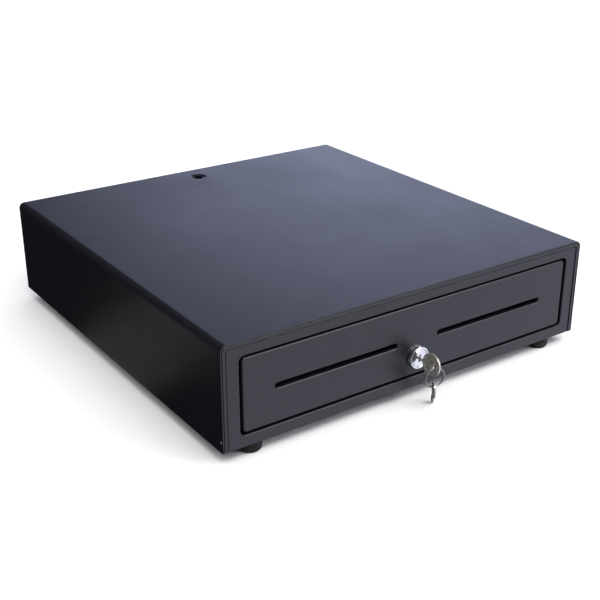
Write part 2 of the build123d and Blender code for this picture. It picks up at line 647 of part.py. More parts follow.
# ---------------------------------------------------------------- till
def bay_edges():
    """The x values between which each bill bay lies."""
    inner = 2 * (TILL_HALF - TILL_WALL)
    bay = (inner - (BILL_BAYS - 1) * TILL_WALL) / BILL_BAYS
    for n in range(BILL_BAYS):
        low = -TILL_HALF + TILL_WALL + n * (bay + TILL_WALL)
        yield low, low + bay


def till_tray():
    floor_top = TILL_Z[0] + TILL_WALL
    body = block((-TILL_HALF, TILL_HALF), TILL_Y, (PAN_FLOOR + PAN_SHEET, TILL_Z[1]))
    body = fillet(body.edges().filter_by(Axis.Z), 3.0)
    under = (-TILL_HALF + TILL_WALL, TILL_HALF - TILL_WALL)
    body -= block(under, (0, 400), (0, TILL_Z[0]))
    coin_bay = block(under, (TILL_Y[0] + TILL_WALL, BILL_BAY_Y - TILL_WALL), (floor_top, 100))
    body -= fillet(coin_bay.edges().filter_by(Axis.Z), 1.2)
    bill_bay = block(under, (BILL_BAY_Y, TILL_Y[1] - TILL_WALL), (floor_top, 100))
    bill_bay = fillet(bill_bay.edges().filter_by(Axis.Z), 1.5)
    body -= fillet(bill_bay.edges().group_by(Axis.Z)[0].filter_by(Axis.X), BAY_ROUND)
    # finger dips in the bays' front wall
    dip = Pos(0, TILL_Z[1]) * slot(44.0, 26.0)
    for low, high in bay_edges():
        place = Pos((low + high) / 2, 0, 0)
        body -= place * prism_y(dip, (BILL_BAY_Y - TILL_WALL - 1, BILL_BAY_Y + 1))
    body -= rod_x(CLIP_ROD_R + RUNNING, (-200, 200), CLIP_ROD_Y, CLIP_ROD_Z)
    return body


def bill_dividers():
    """Plates that stand between the bill bays, with the clip rod through them."""
    y = (BILL_BAY_Y, TILL_Y[1] - TILL_WALL)
    plates = []
    for _, high in list(bay_edges())[:-1]:
        plate = block((high, high + TILL_WALL), y, (TILL_Z[0] + TILL_WALL, TILL_Z[1]))
        plate = fillet(plate.edges().group_by(Axis.Z)[0].filter_by(Axis.X), BAY_ROUND + 1.0)
        plates.append(plate - rod_x(CLIP_ROD_R + RUNNING, (-200, 200), CLIP_ROD_Y, CLIP_ROD_Z))
    return group(plates)


def coin_tray():
    top = TILL_Z[1] - 1.0
    half_x, (y0, y1) = COIN_TRAY_HALF, COIN_TRAY_Y
    cup_x = (2 * half_x - (COIN_COLUMNS + 1) * COIN_WALL) / COIN_COLUMNS
    cup_y = (y1 - y0 - (COIN_ROWS + 1) * COIN_WALL) / COIN_ROWS
    tray = block((-half_x, half_x), (y0, y1), (TILL_Z[0] + TILL_WALL, top))
    tray = fillet(tray.edges().filter_by(Axis.Z), 2.5)
    inside_x = (COIN_WALL - half_x, half_x - COIN_WALL)
    tray -= block(inside_x, (y0 + COIN_WALL, y1 - COIN_WALL), (0, top - COIN_WALL))
    shells, cups = [], []
    for column in range(COIN_COLUMNS):
        for row in range(COIN_ROWS):
            x0 = -half_x + COIN_WALL + column * (cup_x + COIN_WALL)
            z0, r, w = COIN_FLOOR, COIN_SCOOP_R, COIN_WALL
            ya = y0 + COIN_WALL + row * (cup_y + COIN_WALL)
            shell = block((x0 - w, x0 + cup_x + w), (ya - w, ya + cup_y + w), (z0 - w, top))
            shells.append(fillet(shell.edges().group_by(Axis.Z)[0].filter_by(Axis.X), r + w))
            cup = block((x0, x0 + cup_x), (ya, ya + cup_y), (z0, top + 1))
            cups.append(fillet(cup.edges().group_by(Axis.Z)[0].filter_by(Axis.X), r))
    tray += shells
    return tray - cups


def clip_rod():
    return rod_x(CLIP_ROD_R, (-TILL_HALF, TILL_HALF), CLIP_ROD_Y, CLIP_ROD_Z)


KNUCKLE_R = 5.0
KNUCKLE_X = (11.0, 17.0)
CLIP_SPRING_X = 9.5


def bill_clip(middle_x):
    """A sprung arm over one bill bay, drawn level and then lowered to its rest."""
    arm_end = 4.0 - CLIP_REACH
    arm_outline = Polyline((-17.0, 0), (17.0, 0), (13.0, arm_end), (-13.0, arm_end), close=True)
    arm = prism_z(make_face(arm_outline), (1.6, 4.0))
    arm -= prism_z(Rectangle(2 * KNUCKLE_X[0], 14.0), (0, 6))
    stiffener = block((-2.0, 2.0), (-CLIP_REACH + 10.0, -12.0), (3.9, 6.0))
    stiffener = fillet(stiffener.edges().group_by(Axis.Z)[-1], 0.9)
    pad = rod_x(4.0, (-13.0, 13.0), -CLIP_REACH, 0)
    pad = fillet(pad.edges().filter_by(GeomType.CIRCLE), 1.2)
    arm += [stiffener, pad, block((-13.0, 13.0), (-CLIP_REACH, -CLIP_REACH + 5.0), (1.0, 4.0))]
    for x in (KNUCKLE_X, (-KNUCKLE_X[1], -KNUCKLE_X[0])):
        arm += rod_x(KNUCKLE_R, x, 0, 0)
    arm -= rod_x(CLIP_ROD_R + RUNNING, (-20, 20), 0, 0)
    return Pos(middle_x, CLIP_ROD_Y, CLIP_ROD_Z) * Rot(CLIP_REST, 0, 0) * arm


def clip_springs():
    """The space of each clip's torsion spring, around the rod between the knuckles."""
    sleeves = []
    for low, high in bay_edges():
        middle = (low + high) / 2
        x = (middle - CLIP_SPRING_X, middle + CLIP_SPRING_X)
        sleeve = rod_x(CLIP_ROD_R + 1.3, x, CLIP_ROD_Y, CLIP_ROD_Z)
        sleeves.append(sleeve - rod_x(CLIP_ROD_R + 0.1, x, CLIP_ROD_Y, CLIP_ROD_Z))
    return group(sleeves)


# ---------------------------------------------------------------- rear mechanism
LATCH_BRACKET_X = (-26.0, 26.0)
LATCH_LEGS = ((18.0, 19.5), (31.5, 33.0))
LATCH_SCREWS = [(-20.0, 404.0), (20.0, 404.0)]
SOLENOID_SCREWS = [(40.0, 411.0), (55.0, 411.0)]
SWITCH_SCREWS = [(SWITCH_X - 10.0, 405.0), (SWITCH_X + 10.0, 405.0)]
KICKER_SCREWS = [(KICKER_X - 12.0, 402.0), (KICKER_X + 12.0, 402.0)]
MECHANISM_SCREWS = LATCH_SCREWS + SOLENOID_SCREWS + SWITCH_SCREWS + KICKER_SCREWS
PLATE = 1.5
PLATE_Z = (SHEET, SHEET + PLATE)


def drill(part, places):
    for x, y in places:
        part -= rod_z(SCREW_R + RUNNING, x, y, (0, 5))
    return part


def latch_bracket():
    wall_y = (414.5, 416.0)
    px, py = LATCH_PIVOT
    part = block(LATCH_BRACKET_X, (398.0, wall_y[1]), PLATE_Z)
    part += block(LATCH_BRACKET_X, wall_y, (SHEET, 36.0))
    for z in LATCH_LEGS:
        leg = Pos(px, (py + wall_y[0]) / 2) * Rectangle(14.0, wall_y[0] - py)
        part += prism_z(leg + Pos(px, py) * Circle(7.0), z)
    part -= rod_z(LATCH_PIN_R + RUNNING, px, py, (LATCH_LEGS[0][0] - 1, LATCH_LEGS[1][1] + 1))
    return drill(part, LATCH_SCREWS)


def latch_pivot_pin():
    px, py = LATCH_PIVOT
    pin = rod_z(LATCH_PIN_R, px, py, (LATCH_LEGS[0][0] - 1.0, LATCH_LEGS[1][1]))
    return pin + rod_z(LATCH_PIN_R + 1.4, px, py, (LATCH_LEGS[1][1], LATCH_LEGS[1][1] + 1.2))


def latch():
    """A hook that holds the striker pin from the front, drawn caught and then turned to released."""
    px, py = LATCH_PIVOT
    front = STRIKER_Y - STRIKER_R - 0.5
    finger = (front - 3.7, front)
    arm = prism_z(Pos(px, (finger[0] + py) / 2) * Rectangle(5.0, py - finger[0]), LATCH_Z)
    hook = Polyline((-2.0, finger[1]), (px, finger[1]), (px, finger[0]), (0.5, finger[0]), (-2.0, finger[1] - 1.2),
                    close=True)
    part = arm + prism_z(make_face(hook), LATCH_Z)
    part += rod_z(4.5, px, py, (LATCH_LEGS[0][1] + 0.3, LATCH_LEGS[1][0] - 0.3))
    part += prism_z(Pos(px, py - LINK_OFFSET) * Ellipse(4.6, 5.0), LATCH_Z)
    part -= prism_z(Pos(px, py - LINK_OFFSET) * Rot(0, 0, 90) * slot(4.4, 2.7), (LATCH_Z[0] - 1, LATCH_Z[1] + 1))
    part -= rod_z(LATCH_PIN_R + RUNNING, px, py, (0, 50))
    return Pos(px, py) * Rot(0, 0, LATCH_OPEN) * Pos(-px, -py) * part


def latch_spring():
    """The space of the torsion spring around the latch boss's upper end."""
    px, py = LATCH_PIVOT
    z = (LATCH_Z[1] + 0.4, LATCH_LEGS[1][0] - 0.2)
    return rod_z(6.2, px, py, z) - rod_z(4.8, px, py, z)


def link_pin_place():
    """The plunger's pin when the latch is released."""
    open_angle = math.radians(LATCH_OPEN)
    px, py = LATCH_PIVOT
    return px + LINK_OFFSET * math.sin(open_angle), py - LINK_OFFSET * (1 + math.cos(open_angle)) / 2


def solenoid_plunger():
    x, y = link_pin_place()
    part = rod_x(PLUNGER_R, (x + 9.0, 57.0), y, PLUNGER_Z)
    gap = (LATCH_Z[0] - 0.3, LATCH_Z[1] + 0.3)
    fork = block((x - 2.2, x + 9.5), (y - 2.6, y + 2.6), (gap[0] - 1.5, gap[1] + 1.5))
    fork -= block((x - 4.0, x + 6.5), (y - 4.0, y + 4.0), gap)
    return part + fork + rod_z(1.0, x, y, (gap[0] - 1.0, gap[1] + 1.0))


def solenoid_frame():
    y = link_pin_place()[1]
    across = (y - 9.5, y + 9.5)
    low, high = COIL_X
    whole = (low - PLATE, high + PLATE)
    part = block((whole[0], low), across, (SHEET, SOLENOID_TOP))
    part += block((high, whole[1]), across, (SHEET, SOLENOID_TOP))
    part += block(whole, across, (SOLENOID_TOP - PLATE, SOLENOID_TOP))
    part += block(whole, (y - 9.5, 415.0), PLATE_Z)
    part -= rod_x(PLUNGER_R + 0.7, (low - 5, high + 5), y, PLUNGER_Z)
    return drill(part, SOLENOID_SCREWS)


def solenoid_coil():
    y = link_pin_place()[1]
    low, high = COIL_X
    coil = rod_x(8.0, (low + 1.5, high - 1.5), y, PLUNGER_Z)
    coil += rod_x(9.2, (low, low + 1.5), y, PLUNGER_Z)
    coil += rod_x(9.2, (high - 1.5, high), y, PLUNGER_Z)
    return coil - rod_x(PLUNGER_R + 0.1, (low - 1, high + 1), y, PLUNGER_Z)


KICKER_FACE = PAN_Y[1] + 0.3
KICKER_R = 6.0
KICKER_BORE_R = 4.5
KICKER_GUIDE_Y = (385.5, 412.0)


def kicker_guide():
    y = KICKER_GUIDE_Y
    tube = rod_y(KICKER_R + 2.0, KICKER_X, (y[0], y[1] + 1.5), KICKER_Z)
    post = block((KICKER_X - 8.0, KICKER_X + 8.0), (y[1] - 3.0, y[1] + 1.5), (SHEET, KICKER_Z))
    front_post = block((KICKER_X - 6.0, KICKER_X + 6.0), (y[0] + 2.0, y[0] + 5.0), (SHEET, KICKER_Z))
    plate = block((KICKER_X - 17.0, KICKER_X + 17.0), (y[0] + 2.0, y[1] + 1.5), PLATE_Z)
    part = tube + post + front_post + plate
    part -= rod_y(KICKER_R + RUNNING, KICKER_X, (y[0] - 1, y[1]), KICKER_Z)
    return drill(part, KICKER_SCREWS)


def kicker_plunger():
    """A cup over the spring that pushes the drawer's rear wall."""
    cup = rod_y(KICKER_R, KICKER_X, (KICKER_FACE, KICKER_FACE + 25.0), KICKER_Z)
    cup = fillet(cup.edges().group_by(Axis.Y)[0], 1.5)
    return cup - rod_y(KICKER_BORE_R, KICKER_X, (KICKER_FACE + 3.0, KICKER_FACE + 26.0), KICKER_Z)


def kicker_spring():
    """The space of the compressed spring inside the cup."""
    y = (KICKER_FACE + 3.3, KICKER_GUIDE_Y[1])
    return rod_y(KICKER_BORE_R - 0.3, KICKER_X, y, KICKER_Z) - rod_y(3.0, KICKER_X, y, KICKER_Z)


SWITCH_BODY_Z = (22.0, 28.4)
LEVER_PIVOT = (SWITCH_X - 8.5, 385.0)


def switch_body():
    part = block((SWITCH_X - 10.0, SWITCH_X + 10.0), (386.6, 396.6), SWITCH_BODY_Z)
    part = fillet(part.edges().filter_by(Axis.Z), 0.8)
    px, py = LEVER_PIVOT
    for z in ((SWITCH_BODY_Z[0] - 1.2, SWITCH_BODY_Z[0]), (SWITCH_BODY_Z[1], SWITCH_BODY_Z[1] + 1.2)):
        ear = Pos(px, py + 2.4) * Rectangle(3.6, 4.8)
        part += prism_z(ear + Pos(px, py) * Circle(1.8), z)
    part -= rod_z(LEVER_PIN_R + RUNNING, px, py, (SWITCH_BODY_Z[0] - 2, SWITCH_BODY_Z[1] + 2))
    part += block((SWITCH_X - 6.0, SWITCH_X + 6.0), (390.0, 396.6), (SHEET, SWITCH_BODY_Z[0] + 0.1))
    part += block((SWITCH_X - 14.0, SWITCH_X + 14.0), (390.0, 410.0), PLATE_Z)
    return drill(part, SWITCH_SCREWS)


LEVER_PIN_R = 0.8


def switch_lever():
    """A thin lever with its own pin and a rounded nose towards the drawer's rear wall."""
    px, py = LEVER_PIVOT
    z = (SWITCH_BODY_Z[0] + 0.3, SWITCH_BODY_Z[1] - 0.3)
    part = block((px, SWITCH_X + 10.0), (py - 0.8, py), z)
    part += rod_z(1.3, px, py, z)
    nose = rod_z(1.6, SWITCH_X + 8.4, py - 1.4, z)
    return part + nose + rod_z(LEVER_PIN_R, px, py, (SWITCH_BODY_Z[0] - 1.2, SWITCH_BODY_Z[1] + 1.2))


JACK_SIZE = 16.0
JACK_Y = (404.0, REAR_PANEL_Y[1] + 0.6)
JACK_MOUTH = (9.9, 6.9)
JACK_DEPTH = 13.0


def cable_jack():
    """A square modular socket, open to the rear."""
    half = JACK_SIZE / 2
    body = block((JACK_X - half, JACK_X + half), JACK_Y, (JACK_Z - half, JACK_Z + half))
    body = fillet(body.edges().filter_by(Axis.Y), 0.5)
    collar = (JACK_X - half - 1.5, JACK_X + half + 1.5)
    body += block(collar, (REAR_PANEL_Y[0] - 1.5, REAR_PANEL_Y[0]), (JACK_Z - half - 1.5, JACK_Z + half + 1.5))
    mouth_y = (JACK_Y[1] - JACK_DEPTH, JACK_Y[1] + 1)
    body -= prism_y(Pos(JACK_X, JACK_Z + 0.8) * Rectangle(*JACK_MOUTH), mouth_y)
    body -= prism_y(Pos(JACK_X, JACK_Z - 3.4) * Rectangle(6.2, 2.2), mouth_y)
    return body


def base_screws():
    """Short screws from above through the flanges and brackets into the base."""
    thin = [Pos(x, y, FLANGE_Z[1]) * pan_screw(2 * SHEET) for x, y in BEZEL_SCREWS + BRACKET_SCREWS]
    thick = [Pos(x, y, PLATE_Z[1]) * pan_screw(SHEET + PLATE) for x, y in MECHANISM_SCREWS]
    return group(thin + thick)


def rear_screws():
    length = REAR_PANEL_Y[1] - REAR_TAB_Y[0]
    lying = Rot(-90, 0, 0) * pan_screw(length)
    return group(Pos(x, REAR_PANEL_Y[1], z) * lying for x, z in REAR_SCREWS)


# ---------------------------------------------------------------- output
def main():
    os.makedirs("parts", exist_ok=True)
    save("top_shell", top_shell())
    save("front_bezel", front_bezel())
    save("base_pan", base_pan())
    save("rear_panel", rear_panel())
    save("shell_rivets", group(both_sides(rivet())))
    save("base_screws", base_screws())
    save("rear_screws", rear_screws())
    for (x, y), name in zip(feet_places(), ("front_left", "front_right", "rear_left", "rear_right")):
        save(f"foot_{name}", Pos(x, y, 0) * foot())
    save("foot_screws", group(Pos(x, y, 0) * foot_screw() for x, y in feet_places()))

    for side in ("left", "right"):
        save(f"rail_bracket_{side}", on_side(rail_bracket(), side))
        save(f"slide_outer_{side}", on_side(slide_outer(), side))
        save(f"slide_inner_{side}", on_side(slide_inner(), side))
        save(f"slide_cage_{side}", on_side(slide_cage(), side))
        save(f"slide_balls_{side}", on_side(slide_balls(), side))
    save("rail_screws", rail_screws())
    save("slide_rivets", slide_rivets())

    save("drawer_front", drawer_front())
    save("drawer_pan", drawer_pan())
    save("striker_bracket", striker_bracket())
    save("striker_pin", striker_pin())
    save("drawer_screws", drawer_screws())

    save("lock_barrel", lock_barrel())
    save("lock_nut", lock_nut())
    save("lock_plug", lock_plug())
    save("lock_cam", lock_cam())
    save("cam_screw", cam_screw())
    save("inserted_key", inserted_key())
    save("key_ring", key_ring())
    save("spare_key", spare_key())

    save("till_tray", till_tray())
    save("bill_dividers", bill_dividers())
    save("coin_tray", coin_tray())
    save("clip_rod", clip_rod())
    save("clip_springs", clip_springs())
    for n, (low, high) in enumerate(bay_edges(), start=1):
        save(f"bill_clip_{n}", bill_clip((low + high) / 2))

    save("latch_bracket", latch_bracket())
    save("latch_pivot_pin", latch_pivot_pin())
    save("latch", latch())
    save("latch_spring", latch_spring())
    save("solenoid_frame", solenoid_frame())
    save("solenoid_coil", solenoid_coil())
    save("solenoid_plunger", solenoid_plunger())
    save("kicker_guide", kicker_guide())
    save("kicker_plunger", kicker_plunger())
    save("kicker_spring", kicker_spring())
    save("switch_body", switch_body())
    save("switch_lever", switch_lever())
    save("cable_jack", cable_jack())


main()
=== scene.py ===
"""Looks, light and camera for the cash drawer.

Metres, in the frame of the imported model: +Y to the rear, +Z up.
"""
import json
import math

import bpy
from mathutils import Matrix, Vector


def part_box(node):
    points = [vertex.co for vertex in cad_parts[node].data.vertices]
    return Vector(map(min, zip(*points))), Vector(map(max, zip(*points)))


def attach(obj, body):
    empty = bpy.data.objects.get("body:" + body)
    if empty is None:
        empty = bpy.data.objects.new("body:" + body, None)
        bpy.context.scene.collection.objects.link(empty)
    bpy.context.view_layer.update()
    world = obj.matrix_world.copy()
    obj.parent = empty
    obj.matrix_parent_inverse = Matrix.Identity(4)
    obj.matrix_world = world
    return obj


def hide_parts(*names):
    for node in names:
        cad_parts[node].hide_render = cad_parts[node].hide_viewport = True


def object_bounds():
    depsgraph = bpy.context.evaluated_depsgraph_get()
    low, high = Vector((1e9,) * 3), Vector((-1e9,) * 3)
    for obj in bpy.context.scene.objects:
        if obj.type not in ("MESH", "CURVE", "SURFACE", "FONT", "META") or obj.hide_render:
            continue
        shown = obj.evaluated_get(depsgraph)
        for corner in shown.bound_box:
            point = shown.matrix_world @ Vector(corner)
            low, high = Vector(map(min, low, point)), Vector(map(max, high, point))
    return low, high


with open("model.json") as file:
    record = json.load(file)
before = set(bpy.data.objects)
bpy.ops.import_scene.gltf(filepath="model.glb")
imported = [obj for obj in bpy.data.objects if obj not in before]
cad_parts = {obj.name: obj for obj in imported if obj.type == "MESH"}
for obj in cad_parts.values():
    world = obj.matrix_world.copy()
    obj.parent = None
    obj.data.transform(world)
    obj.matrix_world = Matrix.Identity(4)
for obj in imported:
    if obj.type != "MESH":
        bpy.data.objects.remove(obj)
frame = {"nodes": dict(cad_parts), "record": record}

CAD_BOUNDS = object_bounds()
MM = 0.001


# ---------------------------------------------------------------- node helpers
BEVEL_SAMPLES = 4
EDGE_COSINES = (0.985, 0.80)  # rounded against flat normal, where an edge starts and is full


class Look:
    """A Principled material with short calls for the nodes that these surfaces share."""

    def __init__(self, name, color, roughness, metallic=0.0, specular=0.5):
        self.material = bpy.data.materials.new(name)
        self.material.use_nodes = True
        self.nodes = self.material.node_tree.nodes
        self.links = self.material.node_tree.links
        self.shader = self.nodes["Principled BSDF"]
        self.shader.inputs["Base Color"].default_value = (*color, 1.0)
        self.shader.inputs["Roughness"].default_value = roughness
        self.shader.inputs["Metallic"].default_value = metallic
        self.shader.inputs["Specular IOR Level"].default_value = specular
        self.place = self.nodes.new("ShaderNodeTexCoord").outputs["Object"]

    def link(self, source, target):
        self.links.new(source, target)

    def stretched(self, factors):
        """The object's coordinates multiplied axis by axis, for grain that runs one way."""
        node = self.nodes.new("ShaderNodeMapping")
        node.inputs["Scale"].default_value = factors
        self.link(self.place, node.inputs["Vector"])
        return node.outputs["Vector"]

    def noise(self, per_metre, detail=3.0, roughness=0.5, place=None, distortion=0.0):
        node = self.nodes.new("ShaderNodeTexNoise")
        node.inputs["Scale"].default_value = per_metre
        node.inputs["Detail"].default_value = detail
        node.inputs["Roughness"].default_value = roughness
        node.inputs["Distortion"].default_value = distortion
        self.link(place or self.place, node.inputs["Vector"])
        return node.outputs["Fac"]

    def cells(self, per_metre):
        node = self.nodes.new("ShaderNodeTexVoronoi")
        node.inputs["Scale"].default_value = per_metre
        self.link(self.place, node.inputs["Vector"])
        return node.outputs["Distance"]

    def spread(self, value, source, target):
        """A value carried from one range to another."""
        node = self.nodes.new("ShaderNodeMapRange")
        node.inputs["From Min"].default_value, node.inputs["From Max"].default_value = source
        node.inputs["To Min"].default_value, node.inputs["To Max"].default_value = target
        self.link(value, node.inputs["Value"])
        return node.outputs["Result"]

    def maths(self, operation, first, second):
        node = self.nodes.new("ShaderNodeMath")
        node.operation = operation
        for socket, value in zip(node.inputs, (first, second)):
            if isinstance(value, float):
                socket.default_value = value
            else:
                self.link(value, socket)
        return node.outputs["Value"]

    def between(self, factor, first, second):
        """A colour between two colours, or between a node's colour and another."""
        node = self.nodes.new("ShaderNodeMix")
        node.data_type = "RGBA"
        self.link(factor, node.inputs["Factor"])
        for socket, color in ((node.inputs["A"], first), (node.inputs["B"], second)):
            if isinstance(color, tuple):
                socket.default_value = (*color, 1.0)
            else:
                self.link(color, socket)
        return node.outputs["Result"]

    def rounded(self, radius):
        """The surface's normal with its sharp edges rounded to a radius."""
        bevel = self.nodes.new("ShaderNodeBevel")
        bevel.samples = BEVEL_SAMPLES
        bevel.inputs["Radius"].default_value = radius
        return bevel.outputs["Normal"]

    def edges(self, radius):
        """1 along sharp edges and corners within the radius, 0 on flat faces."""
        flat = self.nodes.new("ShaderNodeNewGeometry").outputs["Normal"]
        dot = self.nodes.new("ShaderNodeVectorMath")
        dot.operation = "DOT_PRODUCT"
        self.link(self.rounded(radius), dot.inputs[0])
        self.link(flat, dot.inputs[1])
        return self.spread(dot.outputs["Value"], EDGE_COSINES, (0.0, 1.0))

    def color(self, source):
        self.link(source, self.shader.inputs["Base Color"])

    def roughness(self, *layers):
        """Roughness as a sum of layers, each a value with its own range and the range it gives."""
        total = None
        for value, source, target in layers:
            layer = self.spread(value, source, target)
            total = layer if total is None else self.maths("ADD", total, layer)
        self.link(total, self.shader.inputs["Roughness"])

    def bump(self, *layers, normal=None):
        """Height layers, each a value with its depth in metres, on a normal or on the surface."""
        for height, depth in layers:
            node = self.nodes.new("ShaderNodeBump")
            node.inputs["Strength"].default_value = 1.0
            node.inputs["Distance"].default_value = depth
            self.link(height, node.inputs["Height"])
            if normal:
                self.link(normal, node.inputs["Normal"])
            normal = node.outputs["Normal"]
        self.link(normal, self.shader.inputs["Normal"])
        return self.material


# ---------------------------------------------------------------- materials
def powder_coat():
    """Black powder coat: fine orange peel, faint cloudiness, rounded edges a bit lighter, partly
    rubbed wear and partly a painted highlight.
    """
    look = Look("black_paint", (0.007, 0.007, 0.010), 0.32, specular=0.55)
    clouds = look.noise(9.0, detail=4.0, roughness=0.6)
    cloudiness = look.spread(clouds, (0.1, 0.9), (0.0, 1.0))
    tint = look.between(cloudiness, (0.0048, 0.0050, 0.0072), (0.0080, 0.0083, 0.0115))
    grain = look.noise(1500.0, detail=2.0, roughness=0.6)
    flecks = look.spread(grain, (0.60, 0.72), (0.0, 0.6))
    flecked = look.between(flecks, tint, (0.034, 0.036, 0.046))
    # painted highlight: sharp edges lightened in colour, in noise patches, partly for rubbed wear
    # and partly for light caught on the edges
    rub_and_highlight_patches = look.spread(look.noise(55.0, detail=5.0, roughness=0.65), (0.45, 0.75), (0.1, 0.7))
    rubbed = look.maths("MULTIPLY", look.edges(0.7 * MM), rub_and_highlight_patches)
    look.color(look.between(rubbed, flecked, (0.036, 0.036, 0.042)))
    scuffs = look.noise(26.0, detail=6.0, roughness=0.7, place=look.stretched((1.0, 0.35, 1.0)))
    look.roughness((clouds, (0.1, 0.9), (0.23, 0.36)), (scuffs, (0.1, 0.9), (0.0, 0.08)))
    peel = look.noise(620.0, detail=1.0)
    return look.bump((grain, 0.05 * MM), (peel, 0.08 * MM), normal=look.rounded(0.5 * MM))


def zinc_plate():
    """Bright zinc on rolled steel: fine drawn lines, soft blue and yellow clouds."""
    look = Look("zinc_steel", (0.62, 0.63, 0.64), 0.34, metallic=1.0)
    clouds = look.noise(38.0, detail=5.0, roughness=0.6, distortion=0.6)
    cloudiness = look.spread(clouds, (0.3, 0.7), (0.0, 1.0))
    hue = look.between(cloudiness, (0.50, 0.54, 0.60), (0.66, 0.63, 0.55))
    rolled = look.noise(240.0, detail=4.0, roughness=0.7, place=look.stretched((6.0, 0.15, 6.0)))
    lines = look.spread(rolled, (0.35, 0.75), (0.0, 0.5))
    look.color(look.between(lines, hue, (0.74, 0.75, 0.76)))
    look.roughness((rolled, (0.3, 0.7), (0.22, 0.36)), (clouds, (0.4, 0.8), (0.0, 0.12)))
    return look.bump((rolled, 0.012 * MM), (look.noise(900.0, detail=2.0), 0.006 * MM))


def chrome():
    """Polished chrome with faint fine lines and light handling marks."""
    look = Look("chrome", (0.80, 0.80, 0.81), 0.09, metallic=1.0)
    smear = look.noise(160.0, detail=5.0, roughness=0.6, distortion=0.8)
    smeared = look.spread(smear, (0.35, 0.75), (0.0, 1.0))
    look.color(look.between(smeared, (0.84, 0.84, 0.85), (0.66, 0.66, 0.68)))
    marks = look.noise(2200.0, detail=3.0, roughness=0.7, place=look.stretched((1.0, 1.0, 0.12)))
    look.roughness((smear, (0.35, 0.75), (0.05, 0.20)), (marks, (0.5, 0.8), (0.0, 0.12)))
    return look.bump((marks, 0.004 * MM), (look.noise(420.0, detail=2.0), 0.006 * MM))


def nickel():
    """Pressed nickel-plated keys: warm grey, dulled by handling, brighter along rubbed edges."""
    look = Look("nickel", (0.50, 0.47, 0.43), 0.30, metallic=0.72)
    tarnish = look.noise(230.0, detail=5.0, roughness=0.65, distortion=0.5)
    tarnished = look.spread(tarnish, (0.3, 0.7), (0.0, 1.0))
    body = look.between(tarnished, (0.47, 0.44, 0.40), (0.63, 0.61, 0.57))
    look.color(look.between(look.edges(0.5 * MM), body, (0.84, 0.82, 0.78)))
    stretched = look.stretched((1.0, 0.2, 2.5))
    scratches = look.noise(700.0, detail=4.0, roughness=0.75, place=stretched)
    look.roughness((tarnish, (0.3, 0.7), (0.16, 0.32)), (scratches, (0.45, 0.8), (0.0, 0.18)))
    return look.bump((scratches, 0.010 * MM), (look.noise(1500.0, detail=2.0), 0.004 * MM))


def spring_steel():
    """Drawn wire and ground pins: darker grey steel with fine lines and a trace of oil."""
    look = Look("spring_steel", (0.42, 0.42, 0.43), 0.26, metallic=1.0)
    oil = look.noise(120.0, detail=4.0, roughness=0.6)
    oiled = look.spread(oil, (0.35, 0.7), (0.0, 1.0))
    look.color(look.between(oiled, (0.46, 0.45, 0.43), (0.31, 0.30, 0.29)))
    drawn = look.noise(1100.0, detail=3.0, roughness=0.7, place=look.stretched((0.3, 1.0, 1.0)))
    look.roughness((oil, (0.3, 0.7), (0.15, 0.26)), (drawn, (0.4, 0.8), (0.0, 0.15)))
    return look.bump((drawn, 0.008 * MM))


RUBBED_GAIN, RUBBED_LIFT = 2.2, 0.02  # from the light colour to that of a rubbed edge
RUBBED_SHARE = 0.45
COARSE_PITCH, COARSE_DEPTH = 0.45, 0.6  # shares of the fine grain's


def moulded(name, dark, light, roughness, grain_depth, pitch=1100.0):
    """Moulded plastic with a spark-eroded grain, faint flow marks and paler rubbed edges."""
    look = Look(name, dark, roughness)
    flow = look.noise(17.0, detail=4.0, roughness=0.55, distortion=0.7)
    grain = look.cells(pitch)
    body = look.between(look.spread(flow, (0.3, 0.7), (0.0, 1.0)), dark, light)
    rubbed = tuple(min(1.0, RUBBED_GAIN * c + RUBBED_LIFT) for c in light)
    worn = look.maths("MULTIPLY", look.edges(0.6 * MM), RUBBED_SHARE)
    look.color(look.between(worn, body, rubbed))
    dust = look.noise(420.0, detail=3.0, roughness=0.6)
    duller, glossier = roughness + 0.04, roughness - 0.05
    look.roughness((flow, (0.3, 0.7), (glossier, duller)), (dust, (0.5, 0.8), (0.0, 0.08)))
    coarse = look.noise(pitch * COARSE_PITCH, detail=2.0)
    return look.bump((grain, grain_depth), (coarse, grain_depth * COARSE_DEPTH))


def rubber():
    """Matt black rubber with bloom and fine pitting."""
    look = Look("rubber", (0.020, 0.020, 0.021), 0.82, specular=0.3)
    bloom = look.spread(look.noise(90.0, detail=5.0, roughness=0.65), (0.4, 0.75), (0.0, 1.0))
    look.color(look.between(bloom, (0.009, 0.009, 0.010), (0.028, 0.027, 0.026)))
    pits = look.cells(1300.0)
    look.roughness((look.noise(500.0), (0.3, 0.7), (0.72, 0.92)))
    return look.bump((pits, 0.03 * MM), (look.noise(300.0), 0.04 * MM))


def coil_tape():
    """Glossy amber insulating tape over enamelled wire, which shows through in fine ridges."""
    look = Look("coil_tape", (0.50, 0.30, 0.06), 0.25)
    look.shader.inputs["Coat Weight"].default_value = 0.5
    look.shader.inputs["Coat Roughness"].default_value = 0.12
    wire = look.noise(900.0, detail=2.0, place=look.stretched((2.6, 0.05, 0.05)))
    ridges = look.spread(wire, (0.35, 0.65), (0.0, 1.0))
    look.color(look.between(ridges, (0.30, 0.13, 0.02), (0.62, 0.38, 0.09)))
    look.roughness((look.noise(300.0, detail=4.0), (0.3, 0.7), (0.18, 0.36)))
    return look.bump((wire, 0.05 * MM), (look.noise(200.0), 0.03 * MM))


ABS_GRAIN = 0.045 * MM
NYLON_GRAIN = 0.02 * MM

